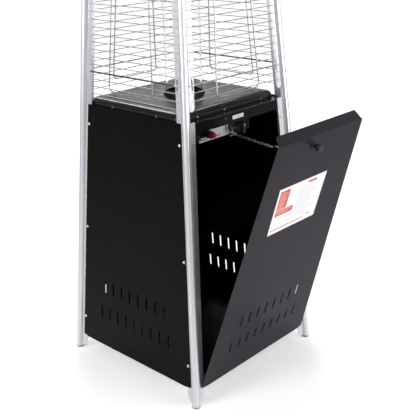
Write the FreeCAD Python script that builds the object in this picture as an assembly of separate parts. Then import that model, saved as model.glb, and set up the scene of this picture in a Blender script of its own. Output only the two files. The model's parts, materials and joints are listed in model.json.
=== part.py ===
"""Pyramid outdoor gas heater: leaning corner posts, a sheet-metal cabinet with a drop-down door,
a burner deck, a quartz flame tube inside four wire guards, and a pyramid hood.

Millimetres, +Z up, the door facing -Y. The origin is on the ground in the middle of the four feet.
The door is drawn open, resting on its chain.
"""
import FreeCAD, Part
import math
import os
from FreeCAD import Vector

# --- the leaning frame ---------------------------------------------------------------------------
LEAN = 0.0678              # every face leans in by this much per millimetre of height
FOOT_HALF = 249.5          # half the distance between post axes at the ground
POST_R = 10.5
POST_WALL = 1.2
POST_BOTTOM = 6.0
POST_JOINT = 769.0         # lower posts meet upper posts
POST_TOP = 2052.0
JOINT_GAP = 0.4
DOOR_GAP_TOP = 807.0       # the front fins of the upper posts start here, clear of the door's flange
FIN_EDGE = 32.0            # free edge of a fin, measured from the post axis
FIN_FRONT = -0.6           # outer surface of the fins, measured from the plane of the post axes
FIN_BACK = -2.2
FIN_CHAMFER = 13.0
SPIGOT_R = 9.25
SPIGOT_REACH = 60.0
FOOT_R = 11.2
FOOT_PAD = 1.6

# --- cabinet panels ------------------------------------------------------------------------------
PANEL_BOTTOM = 45.7
PANEL_TOP = 769.0
PANEL_INSET = 17.9         # panel side edge, measured from the post axis
PANEL_FRONT = 0.4
PANEL_CORNER = (24.0, 4.0) # cut at each lower corner, width and height
SLOT_PITCH = 35.0
SLOT_WIDTH = 6.0
UPPER_SLOTS = (8, 219.0, 259.0)   # count, lower end, upper end
LOWER_SLOTS = (9, 136.0, 174.5)
SCREW_INSET = 25.0
SCREW_HEIGHTS = (112.5, 407.0, 713.5)
SCREW_HOLE_R = 2.2

# --- base tray and door hinge --------------------------------------------------------------------
TRAY_BOTTOM = 47.0
TRAY_SHEET = 1.4
TRAY_WALL_TOP = 125.0
TRAY_FRONT = 226.0
TRAY_VENT_R = 9.0
TRAY_VENT_AT = 120.0       # the four drain and vent holes, out from the middle
HINGE_Y = -241.0
HINGE_Z = 49.0
HINGE_X = 206.0            # inner side of each ear
PIN_R = 3.0
PIN_FIT = 0.05

# --- door ----------------------------------------------------------------------------------------
DOOR_OPEN = 21.0           # degrees between closed and resting on the chain
DOOR_BACK = 2.0
DOOR_FRONT = 3.0
DOOR_TOP = 785.0
DOOR_INSET = 20.5
FLANGE_IN = 22.6           # the top flange slopes in and up from the fold
FLANGE_UP = 16.4
FLANGE_RELIEF = 4.0        # sheet left standing beyond each end of the flange
FLANGE_MITRE = 9.5
KNOB_U = -30.0
KNOB_Z = 760.0

# --- burner deck ---------------------------------------------------------------------------------
DECK_TOP = 785.0
DECK_SHEET = 1.2
RIM_HALF = 190.0
RIM_FRONT = 170.0          # the door side stops here and leaves a channel for the door's flange
RIM_CORNER_R = 22.0
RIM_EDGE_R = 16.0
LEDGE_Z = 765.0
SKIRT_BOTTOM = 735.0
LIP_BOTTOM = 738.0
LIP_HOLES = (46.0, 753.5, 3.0)     # distance either side, height and radius
PLATE_HALF = 154.0
PLATE_T = 1.2

# --- flame tube ----------------------------------------------------------------------------------
TUBE_R = 50.0
TUBE_WALL = 2.5
SEAT_R = 57.5
SEAT_BORE = 51.5
SEAT_LIP_R = 46.0
SEAT_H = 10.0
TUBE_TOP = 2034.0
BURNER_R = 38.0
CUP_R = 45.0

# --- controls ------------------------------------------------------------------------------------
BRACKET_Y = -140.0
BRACKET_BOTTOM = 687.0
BRACKET_HALF = 112.0
STICKER_LEFT = -92.5
STICKER_RIGHT = 29.0
STICKER_TOP = 750.0
KNOB_X = 38.0
VALVE_Z = 709.0
STEM_R = 4.0
IGNITER_X = -79.5
IGNITER_Z = 713.5
INLET_R = 5.5
INLET_REACH = 35.0
INLET_BORE_R = 3.5
BUTTON_R = 6.6
BUTTON_FACE = -186.0
IGNITER_BACK = BRACKET_Y + 18.0
RUN_FIT = 0.05

# --- chain ---------------------------------------------------------------------------------------
CHAIN_X = 37.0
HOOK_REACH = 7.0
HOOK_Y = BRACKET_Y - HOOK_REACH
HOOK_Z = 686.5
EYE_Z = 691.0              # door eye height with the door closed
EYE_REACH = 10.0           # door eye, measured in from the door's inner surface
LINKS_PER_HALF = 12
WIRE_R = 0.9
LINK_WIDTH = 7.6
CHAIN_SPREAD = 5.5         # the open joint in the middle keeps the halves this far off centre
EYE_PIN_R = 1.0
EYE_GAP = 0.35

# --- wire guards ---------------------------------------------------------------------------------
STRIP_NEAR = 11.6
STRIP_EDGE = 31.0
STRIP_FRONT = 0.9
STRIP_BOTTOM = 769.0
FRONT_STRIP_BOTTOM = 796.0
STRIP_TOP = 2030.0
WIRE_PITCH = 19.7
HEAVY_ROD_Z = 860.7
WIRES_BELOW = 3
WIRES_ABOVE = 59
GRID_R = 1.25
HEAVY_R = 2.2
HAIRPIN_R = 1.75
HAIRPIN_BOTTOM = 816.0
HAIRPIN_HALF = (84.0, 9.0)  # half width at the bottom and at the top
HAIRPIN_BEND = 12.0
WELD = 0.3
STRIP_SLOT = (846.0, 876.0, 5.5)

# --- head ----------------------------------------------------------------------------------------
HEAD_Z = 2034.0
HEAD_HALF = 108.0
HEAD_DEPTH = 17.0
SCREEN_TOP = 2128.0
HOOD_BOTTOM = 2150.0
HOOD_TOP = 2240.0
HOOD_HALF = 140.0
HOOD_TOP_HALF = 26.0
HOOD_RIM = 14.0
HOOD_SHEET = 1.2
HOOD_POST_AT = 78.0
HOOD_POST_R = 4.0
FINIAL_TOP = 2270.0

FACES = ("front", "right", "back", "left")
CORNERS = ("front_left", "front_right", "back_right", "back_left")
Z_AXIS = Vector(0, 0, 1)
NORMAL = Vector(0, -1, LEAN)
NORMAL.normalize()
UP_FACE = Vector(0, LEAN, 1)
UP_FACE.normalize()


# --- helpers -------------------------------------------------------------------------------------
def half(z):
    """Distance of a post axis from the two middle planes at a height."""
    return FOOT_HALF - LEAN * z


def on_face(u, z, off=0.0):
    """A point of the front face: sideways, height, distance out of the plane of the posts."""
    return Vector(u, -half(z), z) + NORMAL * off


def prism(points, sweep):
    return Part.Face(Part.makePolygon(points + [points[0]])).extrude(sweep)


def face_plate(outline, back, front):
    """A flat plate in the front face from an outline of (u, z) points."""
    return prism([on_face(u, z, back) for u, z in outline], NORMAL * (front - back))


def face_band(z0, z1, inset, back, front):
    """A plate of the front face whose side edges stay parallel to the posts."""
    low, high = half(z0) - inset, half(z1) - inset
    return face_plate([(-low, z0), (low, z0), (high, z1), (-high, z1)], back, front)


def turned(shape, quarter):
    """A copy turned about the vertical, from the front to another side."""
    copy = shape.copy()
    copy.rotate(Vector(0, 0, 0), Z_AXIS, 90.0 * quarter)
    return copy


def rod(start, end, radius):
    return Part.makeCylinder(radius, start.distanceToPoint(end), start, end - start)


def box(x0, x1, y0, y1, z0, z1):
    return Part.makeBox(x1 - x0, y1 - y0, z1 - z0, Vector(x0, y0, z0))


def fused(shapes):
    return shapes[0].multiFuse(shapes[1:]).removeSplitter()


def cut_all(shape, tools):
    return shape.cut(Part.makeCompound(tools))


def face_slot(u, z0, z1, width):
    """A cutter for a round-ended slot up the front face."""
    r = width / 2
    deep = NORMAL * 30
    low, high = on_face(u, z0 + r, -15), on_face(u, z1 - r, -15)
    side = Vector(r, 0, 0)
    bar = prism([low - side, low + side, high + side, high - side], deep)
    ends = [Part.makeCylinder(r, 30, point, NORMAL) for point in (low, high)]
    return fused([bar] + ends)


def face_drill(u, z, radius):
    return Part.makeCylinder(radius, 30, on_face(u, z, -15), NORMAL)


def strip_slot(side):
    """A cutter for the upright slot low in each guard strip and in the post's fin behind it."""
    low, high, width = STRIP_SLOT
    return face_slot(side * (half((low + high) / 2) - SCREW_INSET), low, high, width)


def bent_rod(points, radius, bend):
    """A round rod along straight runs joined by tangent arcs."""
    edges = []
    start = points[0]
    for before, corner, after in zip(points, points[1:], points[2:]):
        way_in = (corner - before).normalize()
        way_out = (after - corner).normalize()
        turn = way_in.getAngle(way_out)
        cut = bend * math.tan(turn / 2)
        arc_start = corner - way_in * cut
        arc_end = corner + way_out * cut
        inward = (way_out - way_in).normalize()
        middle = corner + inward * (bend / math.cos(turn / 2) - bend)
        edges.append(Part.LineSegment(start, arc_start).toShape())
        edges.append(Part.Arc(arc_start, middle, arc_end).toShape())
        start = arc_end
    edges.append(Part.LineSegment(start, points[-1]).toShape())
    path = Part.Wire(edges)
    ring = Part.Wire(Part.makeCircle(radius, points[0], points[1] - points[0]))
    return path.makePipeShell([ring], True, False)


def spun(profile):
    """A turned piece from (radius, height) points about the vertical."""
    points = [Vector(r, 0, z) for r, z in profile]
    return Part.Face(Part.makePolygon(points + [points[0]])).revolve(Vector(0, 0, 0), Z_AXIS, 360)


def laid_forward(shape, x, y, z):
    """Lay an upright turned piece down so that its top points at -Y."""
    copy = shape.copy()
    copy.rotate(Vector(0, 0, 0), Vector(1, 0, 0), 90)
    copy.translate(Vector(x, y, z))
    return copy


def door_opened(shape):
    """Swing a piece from the closed door to where the chain holds it."""
    copy = shape.copy()
    copy.rotate(Vector(0, HINGE_Y, HINGE_Z), Vector(1, 0, 0), DOOR_OPEN)
    return copy


def aligned(shape, point, direction):
    """Stand an upright piece at a point with its top along a direction."""
    copy = shape.copy()
    copy.Placement = FreeCAD.Placement(point, FreeCAD.Rotation(Z_AXIS, direction))
    return copy


PARTS = {}


def keep(name, shape):
    """Check a piece and remember it under its node name."""
    solids = shape.Solids
    if not solids or not all(solid.isValid() for solid in solids):
        raise RuntimeError(name + " isn't a valid solid")
    PARTS[name] = solids[0] if len(solids) == 1 else Part.makeCompound(solids)


# --- posts ---------------------------------------------------------------------------------------
def post(z0, z1, bottom_cut):
    """A leaning tube with one fin in each of the two faces that it joins."""
    lean_axis = Vector(LEAN, LEAN, 1)
    start = Vector(-half(z0 - 20), -half(z0 - 20), z0 - 20)
    length = (z1 - z0 + 40) * lean_axis.Length
    slab = box(-400, 400, -400, 400, z0, z1)
    tube = Part.makeCylinder(POST_R, length, start, lean_axis).common(slab)
    bore = Part.makeCylinder(POST_R - POST_WALL, length, start, lean_axis)
    root = POST_R - POST_WALL + 0.4
    outline = [(-half(z0) + root, z0), (-half(z0) + FIN_EDGE, z0),
               (-half(z1) + FIN_EDGE, z1), (-half(z1) + root, z1)]
    if bottom_cut:
        outline[1:2] = [(-half(z0) + FIN_EDGE - bottom_cut, z0),
                        (-half(z0) + FIN_EDGE, z0 + bottom_cut)]
    mirrored = [(-u, z) for u, z in outline]
    fin_a = face_plate(outline, FIN_BACK, FIN_FRONT)
    fin_b = turned(face_plate(mirrored, FIN_BACK, FIN_FRONT), 3)
    return fused([tube, fin_a, fin_b]).cut(bore)


def post_drills(heights, radius):
    cutters = []
    for z in heights:
        at = half(z) - SCREW_INSET
        cutters += [face_drill(-at, z, radius), turned(face_drill(at, z, radius), 3)]
    return cutters


def make_posts():
    lower = cut_all(post(POST_BOTTOM, POST_JOINT - JOINT_GAP, FIN_CHAMFER),
                    post_drills(SCREW_HEIGHTS, SCREW_HOLE_R))
    slots = [strip_slot(-1), turned(strip_slot(1), 3)]
    upper = cut_all(post(POST_JOINT, POST_TOP, 0),
                    post_drills(guard_screw_heights(), SCREW_HOLE_R) + slots)
    low_end, high_end = POST_JOINT - SPIGOT_REACH, POST_JOINT + SPIGOT_REACH
    spigot = rod(Vector(-half(low_end), -half(low_end), low_end),
                 Vector(-half(high_end), -half(high_end), high_end), SPIGOT_R)
    spigot = spigot.cut(rod(Vector(-half(low_end - 5), -half(low_end - 5), low_end - 5),
                            Vector(-half(high_end + 5), -half(high_end + 5), high_end + 5), 7.5))
    inner = half(DOOR_GAP_TOP) - POST_R - 1.0
    door_gap = box(-inner, inner, -half(POST_JOINT) - 6, -half(DOOR_GAP_TOP) + 6,
                   POST_JOINT - 5, DOOR_GAP_TOP)
    for quarter, corner in enumerate(CORNERS):
        keep("lower_post_" + corner, turned(lower, quarter))
        keep("upper_post_" + corner, turned(upper, quarter).cut(door_gap))
    keep("post_joiners", Part.makeCompound([turned(spigot, q) for q in range(4)]))

    disc = Part.makeCylinder(FOOT_R, POST_BOTTOM - 0.1 - FOOT_PAD, Vector(0, 0, FOOT_PAD))
    disc = disc.makeFillet(1.2, disc.Edges)
    plug_top = 26.0
    plug = rod(Vector(0, 0, POST_BOTTOM - 0.5), Vector(LEAN, LEAN, 1) * plug_top, 8.6)
    foot = fused([disc, plug])
    pad = Part.makeCylinder(FOOT_R - 1.0, FOOT_PAD)
    foot.translate(Vector(-FOOT_HALF, -FOOT_HALF, 0))
    pad.translate(Vector(-FOOT_HALF, -FOOT_HALF, 0))
    keep("feet", Part.makeCompound([turned(foot, q) for q in range(4)]))
    keep("foot_pads", Part.makeCompound([turned(pad, q) for q in range(4)]))
    cap_r = POST_R + 0.8
    cap = spun([(0, 0), (cap_r, 0), (cap_r, 3), (cap_r - 3, 5.5), (0, 6)])
    cap.translate(Vector(-half(POST_TOP), -half(POST_TOP), POST_TOP))
    keep("post_caps", Part.makeCompound([turned(cap, q) for q in range(4)]))


# --- panels --------------------------------------------------------------------------------------
def vent_cutters():
    """Cutters for the upper row of slots, then the lower row."""
    cutters = []
    for count, low, high in (UPPER_SLOTS, LOWER_SLOTS):
        for index in range(count):
            u = (index - (count - 1) / 2) * SLOT_PITCH
            cutters.append(face_slot(u, low, high, SLOT_WIDTH))
    return cutters


def make_panels():
    wide, tall = PANEL_CORNER
    low, high = half(PANEL_BOTTOM) - PANEL_INSET, half(PANEL_TOP) - PANEL_INSET
    outline = [(-low + wide, PANEL_BOTTOM), (low - wide, PANEL_BOTTOM), (low, PANEL_BOTTOM + tall),
               (high, PANEL_TOP), (-high, PANEL_TOP), (-low, PANEL_BOTTOM + tall)]
    holes = [face_drill(side * (half(z) - SCREW_INSET), z, SCREW_HOLE_R)
             for z in SCREW_HEIGHTS for side in (-1, 1)]
    panel = cut_all(face_plate(outline, FIN_FRONT, PANEL_FRONT), vent_cutters() + holes)
    for quarter in (1, 2, 3):
        keep(FACES[quarter] + "_panel", turned(panel, quarter))
    head = spun([(0, 0), (4.6, 0), (4.4, 1.2), (3.2, 2.3), (1.5, 2.9), (0, 3.0)])
    shank = Part.makeCylinder(1.9, 8.0, Vector(0, 0, -7.9))
    screw = fused([head, shank])
    row = [aligned(screw, on_face(side * (half(z) - SCREW_INSET), z, PANEL_FRONT), NORMAL)
           for z in SCREW_HEIGHTS for side in (-1, 1)]
    keep("panel_screws", Part.makeCompound([turned(s, q) for q in (1, 2, 3) for s in row]))


# --- base tray and hinge -------------------------------------------------------------------------
def make_tray():
    reach = half(TRAY_BOTTOM) + FIN_BACK - 0.9
    notch = 22.0
    floor = box(-reach, reach, -TRAY_FRONT, reach, TRAY_BOTTOM, TRAY_BOTTOM + TRAY_SHEET)
    corners = [box(*(span_x + span_y), TRAY_BOTTOM - 5, TRAY_BOTTOM + 10)
               for span_x in ((-300, -reach + notch), (reach - notch, 300))
               for span_y in ((reach - notch, 300), (-300, -TRAY_FRONT + 4))]
    floor = cut_all(floor, corners)
    wall = face_band(TRAY_BOTTOM, TRAY_WALL_TOP, 21.0, FIN_BACK - TRAY_SHEET, FIN_BACK)
    drills = [face_drill(side * (half(z) - SCREW_INSET), z, SCREW_HOLE_R)
              for z in SCREW_HEIGHTS[:1] for side in (-1, 1)]
    wall = cut_all(wall, drills + vent_cutters()[UPPER_SLOTS[0]:])
    front = box(-reach + notch, reach - notch, -TRAY_FRONT, -TRAY_FRONT + TRAY_SHEET,
                TRAY_BOTTOM, TRAY_BOTTOM + 22)
    ears = []
    for side in (-1, 1):
        x0 = HINGE_X if side > 0 else -HINGE_X - 2.0
        ear = box(x0, x0 + 2.0, HINGE_Y - 4.5, -TRAY_FRONT + 1.0, 44.0, 62.0)
        bore = Part.makeCylinder(PIN_R, 10, Vector(x0 - 4, HINGE_Y, HINGE_Z), Vector(1, 0, 0))
        ears.append(ear.cut(bore))
    vent = [Part.makeCylinder(TRAY_VENT_R, 10, Vector(x, y, TRAY_BOTTOM - 4))
            for x in (-TRAY_VENT_AT, TRAY_VENT_AT) for y in (-TRAY_VENT_AT, TRAY_VENT_AT)]
    tray = fused([floor, front] + [turned(wall, q) for q in (1, 2, 3)] + ears)
    keep("base_tray", cut_all(tray, vent))
    pins = []
    for side in (-1, 1):
        inner, outer = side * (HINGE_X - 7.0), side * (HINGE_X + 3.5)
        shaft = rod(Vector(inner, HINGE_Y, HINGE_Z), Vector(outer, HINGE_Y, HINGE_Z), PIN_R)
        head = rod(Vector(outer, HINGE_Y, HINGE_Z), Vector(outer + side * 1.8, HINGE_Y, HINGE_Z), 5.0)
        pins.append(fused([shaft, head]))
    keep("hinge_pins", Part.makeCompound(pins))


# --- door ----------------------------------------------------------------------------------------
def door_lug(side):
    """The ear of the door that turns on a hinge pin, just inside the tray's ear."""
    x0 = side * (HINGE_X - 3.4)
    plate = Part.makeBox(2.0, 15.0, 14.0, Vector(min(x0, x0 + 2.0), HINGE_Y - 8.2, HINGE_Z - 3.2))
    if side < 0:
        plate.translate(Vector(-2.0, 0, 0))
    bore = Part.makeCylinder(PIN_R + PIN_FIT, 12, Vector(x0 - 6, HINGE_Y, HINGE_Z), Vector(1, 0, 0))
    around_foot = ((-240, 20), (240, 20), (240, 90), (-240, 90))
    beyond = prism([on_face(u, z, DOOR_BACK + 0.5) for u, z in around_foot],
                   NORMAL * 20)
    return plate.cut(beyond).cut(bore)


def eye_block(point, back, up, reach):
    """A small fork that holds a cross pin for the chain, fixed this far behind the pin."""
    side = Vector(1, 0, 0)
    cheeks = []
    for sign in (-1, 1):
        root = point + side * (sign * 5.4) - up * 3.0
        width = up * 6.0
        outline = [root - back * 3.0, root - back * 3.0 + width, root + back * reach + width,
                   root + back * reach]
        cheeks.append(prism(outline, side * (sign * 1.2)))
    pin = rod(point - side * 6.0, point + side * 6.0, EYE_PIN_R)
    base = point + back * (reach - 1.2)
    corners = [base + side * (sx * 6.6) + up * (sz * 6.0) for sx, sz in ((-1, -1), (1, -1), (1, 1), (-1, 1))]
    foot = prism(corners, back * 1.2)
    return fused(cheeks + [pin, foot])


def door_eye_point():
    return on_face(CHAIN_X, EYE_Z, DOOR_BACK - EYE_REACH)


def make_door():
    low, high = half(PANEL_BOTTOM) - DOOR_INSET, half(DOOR_TOP) - DOOR_INSET
    wide, tall = PANEL_CORNER
    outline = [(-low + wide, PANEL_BOTTOM), (low - wide, PANEL_BOTTOM), (low, PANEL_BOTTOM + tall),
               (high, DOOR_TOP), (-high, DOOR_TOP), (-low, PANEL_BOTTOM + tall)]
    sheet = cut_all(face_plate(outline, DOOR_BACK, DOOR_FRONT),
                    vent_cutters() + [face_drill(KNOB_U, KNOB_Z, 2.1)])
    flange_half = high - FLANGE_RELIEF
    slope = UP_FACE * FLANGE_UP - NORMAL * FLANGE_IN
    folds = [on_face(side * flange_half, DOOR_TOP, DOOR_FRONT) for side in (-1, 1)]
    ends = [folds[1] + slope - Vector(FLANGE_MITRE, 0, 0), folds[0] + slope + Vector(FLANGE_MITRE, 0, 0)]
    under = (NORMAL * FLANGE_UP + UP_FACE * FLANGE_IN).normalize() * (DOOR_BACK - DOOR_FRONT)
    flange = prism(folds + ends, under)
    foot_half = 196.0
    foot_in = 9.0
    foot = prism([on_face(u, PANEL_BOTTOM, off) for u, off in
                  ((-foot_half, DOOR_BACK + 0.2), (foot_half, DOOR_BACK + 0.2),
                   (foot_half, DOOR_BACK - foot_in), (-foot_half, DOOR_BACK - foot_in))], UP_FACE)
    door = fused([sheet, flange, foot, door_lug(-1), door_lug(1)])
    keep("door_panel", door_opened(door))

    knob = spun([(0, 0), (8.5, 0), (8.5, 2.5), (6.4, 5), (6, 11), (8.8, 14.5), (9.6, 16.5), (9.6, 22),
                 (8.4, 24), (5, 25), (0, 25)])
    knob = knob.cut(Part.makeCylinder(2.0, 10))
    keep("door_knob", door_opened(aligned(knob, on_face(KNOB_U, KNOB_Z, DOOR_FRONT), NORMAL)))
    screw = fused([Part.makeCylinder(2.0, 10.6), spun([(0, -1.8), (3, -1.8), (4, -1.2), (4, 0), (0, 0)])])
    keep("door_knob_screw", door_opened(aligned(screw, on_face(KNOB_U, KNOB_Z, DOOR_BACK), NORMAL)))

    left, right, base, head = -118.0, 78.0, 519.0, 656.0
    label = face_plate([(left, base), (right, base), (right, head), (left, head)],
                       DOOR_FRONT, DOOR_FRONT + 0.25)
    keep("door_label", door_opened(label))
    keep("door_eye", door_opened(eye_block(door_eye_point(), NORMAL, UP_FACE, EYE_REACH)))


# --- deck ----------------------------------------------------------------------------------------
def rounded_block(x0, x1, y0, y1, z0, z1, corner_r, edge_r):
    """A block with rounded upright corners and a rounded top edge."""
    block = box(x0, x1, y0, y1, z0, z1)
    upright = [e for e in block.Edges if abs(e.tangentAt(e.FirstParameter).z) > 0.9]
    block = block.makeFillet(corner_r, upright)
    top = [e for e in block.Edges if e.CenterOfMass.z > z1 - 0.01]
    return block.makeFillet(edge_r, top)


def make_deck():
    t = DECK_SHEET
    outer = rounded_block(-RIM_HALF, RIM_HALF, -RIM_FRONT, RIM_HALF, LEDGE_Z - 1, DECK_TOP,
                          RIM_CORNER_R, RIM_EDGE_R)
    inner = rounded_block(-RIM_HALF + t, RIM_HALF - t, -RIM_FRONT + t, RIM_HALF - t, LEDGE_Z - 3,
                          DECK_TOP - t, RIM_CORNER_R - t, RIM_EDGE_R - t)
    reach = half(LEDGE_Z) + FIN_BACK - 0.7
    notch = 18.0
    ledge = box(-reach, reach, -reach - 0.2, reach, LEDGE_Z - t, LEDGE_Z)
    gone = [box(*(sx + sy), LEDGE_Z - 5, LEDGE_Z + 5)
            for sx in ((-300, -reach + notch), (reach - notch, 300))
            for sy in ((-300, -reach + notch), (reach - notch, 300))]
    ledge = cut_all(ledge, gone + [inner])
    skirt = face_band(SKIRT_BOTTOM, LEDGE_Z, 20.5, FIN_BACK - t, FIN_BACK)
    lip = face_band(LIP_BOTTOM, LEDGE_Z, 20.5, FIN_BACK - t - 0.6, FIN_BACK - 0.6)
    shell = fused([outer.cut(inner), ledge, lip] + [turned(skirt, q) for q in (1, 2, 3)])
    cuts = [Part.makeCylinder(SEAT_LIP_R, 30, Vector(0, 0, DECK_TOP - 15))]
    aside, height, radius = LIP_HOLES
    cuts += [face_drill(side * aside, height, radius) for side in (-1, 1)]
    keep("burner_deck", cut_all(shell, cuts))

    plate = box(-PLATE_HALF, PLATE_HALF, -PLATE_HALF, PLATE_HALF, DECK_TOP, DECK_TOP + PLATE_T)
    keep("deck_plate", plate.cut(Part.makeCylinder(SEAT_LIP_R + 2, 30, Vector(0, 0, DECK_TOP - 15))))
    seat_z = DECK_TOP + PLATE_T
    seat = spun([(SEAT_LIP_R, seat_z), (SEAT_R, seat_z), (SEAT_R - 0.5, seat_z + SEAT_H - 2),
                 (SEAT_R - 2.5, seat_z + SEAT_H), (SEAT_BORE, seat_z + SEAT_H), (SEAT_BORE, seat_z + 1.6),
                 (SEAT_LIP_R, seat_z + 1.6)])
    keep("tube_seat", seat)
    gasket_z = seat_z + 1.6
    keep("tube_gasket", spun([(TUBE_R - 3.2, gasket_z), (TUBE_R + 0.8, gasket_z),
                              (TUBE_R + 0.8, gasket_z + 2), (TUBE_R - 3.2, gasket_z + 2)]))
    low = gasket_z + 2
    keep("flame_tube", spun([(TUBE_R - TUBE_WALL, low), (TUBE_R, low), (TUBE_R, TUBE_TOP - 2.2),
                             (TUBE_R - TUBE_WALL, TUBE_TOP - 2.2)]))
    screws = []
    head = spun([(0, 0), (3.6, 0), (3.3, 1.3), (2.2, 2.0), (0, 2.4)])
    for u in (-85.0, 85.0):
        point = Vector(u, -RIM_HALF, LEDGE_Z + 5.5)
        screws += [turned(aligned(head, point, Vector(0, -1, 0)), q) for q in (1, 2, 3)]
    for x in (-127.0, -25.0, 127.0):
        screws.append(aligned(head, Vector(x, -RIM_FRONT, LEDGE_Z + 5), Vector(0, -1, 0)))
    keep("deck_screws", Part.makeCompound(screws))


# --- burner and gas train ------------------------------------------------------------------------
def make_burner():
    t = 1.2
    cup_low = 728.0
    under = DECK_TOP - DECK_SHEET
    cup = spun([(0, cup_low), (CUP_R, cup_low), (CUP_R, under - t), (SEAT_R, under - t), (SEAT_R, under),
                (CUP_R - t, under), (CUP_R - t, cup_low + t), (0, cup_low + t)])
    air = []
    for index in range(10):
        slot = box(20, 60, -3, 3, 740, 752)
        slot.rotate(Vector(0, 0, 0), Z_AXIS, index * 36.0)
        air.append(slot)
    air.append(Part.makeCylinder(8.1, 20, Vector(0, 0, cup_low - 10)))
    keep("burner_cup", cut_all(cup, air))

    base, rim, crown = 756.0, 786.0, 793.0
    head = spun([(10, base), (BURNER_R, base + 6), (BURNER_R, rim), (BURNER_R - 12, crown - 2), (0, crown),
                 (0, crown - 1.5), (BURNER_R - 12, crown - 3.5), (BURNER_R - 1.5, rim - 0.8),
                 (BURNER_R - 1.5, base + 7.5), (10, base + 1.5)])
    ports = []
    for radius, count in ((33, 24), (24, 18), (15, 12)):
        for index in range(count):
            angle = 2 * math.pi * index / count
            ports.append(Part.makeCylinder(1.4, 30, Vector(radius * math.cos(angle),
                                                           radius * math.sin(angle), crown - 20)))
    keep("burner_head", cut_all(head, ports))
    stalk = spun([(0, 712), (7, 712), (8, 714), (8, 744), (5.5, 748), (5.5, base + 1.5), (9.9, base + 1.5),
                  (9.9, base + 3), (0, base + 3)])
    keep("injector", stalk)


def make_controls():
    t = 1.2
    under = DECK_TOP - DECK_SHEET
    y0 = BRACKET_Y
    front = box(-BRACKET_HALF, BRACKET_HALF, y0, y0 + t, BRACKET_BOTTOM, under)
    top = box(-BRACKET_HALF, BRACKET_HALF, y0, y0 + 24, under - t, under)
    cheeks = [prism([Vector(x, y0, under), Vector(x, y0 + 60, under), Vector(x, y0 + 8, BRACKET_BOTTOM + 4),
                     Vector(x, y0, BRACKET_BOTTOM + 4)], Vector(t, 0, 0))
              for x in (-BRACKET_HALF, BRACKET_HALF - t)]
    bracket = fused([front, top] + cheeks)
    holes = [Part.makeCylinder(8.6, 20, Vector(IGNITER_X, y0 - 10, IGNITER_Z), Vector(0, 1, 0)),
             Part.makeCylinder(9.1, 20, Vector(KNOB_X, y0 - 10, VALVE_Z), Vector(0, 1, 0))]
    keep("control_bracket", cut_all(bracket, holes))
    sticker = box(STICKER_LEFT, STICKER_RIGHT, y0 - 0.3, y0, BRACKET_BOTTOM + 0.5, STICKER_TOP)
    keep("control_sticker", sticker.cut(Part.makeCompound(
        [Part.makeCylinder(14.2, 20, Vector(IGNITER_X, y0 - 10, IGNITER_Z), Vector(0, 1, 0)),
         Part.makeCylinder(14.6, 20, Vector(KNOB_X, y0 - 10, VALVE_Z), Vector(0, 1, 0))])))

    block = box(KNOB_X - 16, KNOB_X + 16, y0 + t, y0 + 42, VALVE_Z - 15, VALVE_Z + 15)
    block = block.makeFillet(2.5, block.Edges)
    collar = Part.makeCylinder(9.0, 12, Vector(KNOB_X, y0 - 8, VALVE_Z), Vector(0, 1, 0))
    nut = Part.makePolygon([Vector(KNOB_X + 13.5 * math.cos(a), y0, VALVE_Z + 13.5 * math.sin(a))
                            for a in [math.pi / 3 * i for i in range(7)]])
    nut = Part.Face(nut).extrude(Vector(0, -5, 0))
    sideways = Vector(1, 0, 0)
    inlet_socket = Part.makeCylinder(8.5, 12, Vector(KNOB_X + 12, y0 + 22, VALVE_Z), sideways)
    valve = fused([block, collar, nut, inlet_socket])
    stem_bore = Part.makeCylinder(STEM_R + RUN_FIT, 34, Vector(KNOB_X, y0 - 12, VALVE_Z), Vector(0, 1, 0))
    keep("gas_valve", valve.cut(stem_bore))
    keep("valve_stem", Part.makeCylinder(STEM_R, 40, Vector(KNOB_X, y0 - 28, VALVE_Z), Vector(0, 1, 0)))

    knob = spun([(0, 0), (15.5, 0), (17, 2), (17, 13), (15, 17), (0, 17)])
    grip = box(-4, 4, -15.5, 15.5, 16, 28)
    grip = grip.makeFillet(2.0, [e for e in grip.Edges if e.CenterOfMass.z > 17])
    knob = fused([knob, grip]).cut(Part.makeCylinder(STEM_R + RUN_FIT, 13))
    keep("control_knob", laid_forward(knob, KNOB_X, y0 - 18, VALVE_Z))
    inlet_at = Vector(KNOB_X + 24, y0 + 22, VALVE_Z)
    inlet = fused([Part.makeCylinder(9.5, 9, inlet_at, sideways),
                   Part.makeCylinder(INLET_R, INLET_REACH, inlet_at, sideways)])
    keep("gas_inlet", inlet.cut(Part.makeCylinder(INLET_BORE_R, INLET_REACH + 1, inlet_at, sideways)))

    body = spun([(BUTTON_R + RUN_FIT, 0), (8.4, 0), (8.4, 18), (14, 18), (14, 23), (10, 23.5), (10, 52),
                 (BUTTON_R + RUN_FIT, 52)])
    floor = Part.makeCylinder(8.4, 16)
    body = fused([floor, body])
    body.translate(Vector(0, 0, -18))
    keep("igniter_body", laid_forward(body, IGNITER_X, y0, IGNITER_Z))
    face_gap = y0 - BUTTON_FACE
    button = spun([(0, 18), (BUTTON_R, 18), (BUTTON_R, face_gap - 1.5), (BUTTON_R - 1.5, face_gap),
                   (0, face_gap)])
    keep("igniter_button", laid_forward(button, IGNITER_X, y0, IGNITER_Z))

    tilt = box(-44, -12, y0 + t, y0 + 20, 724, 752)
    keep("tilt_switch", tilt.makeFillet(2, tilt.Edges))


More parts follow.
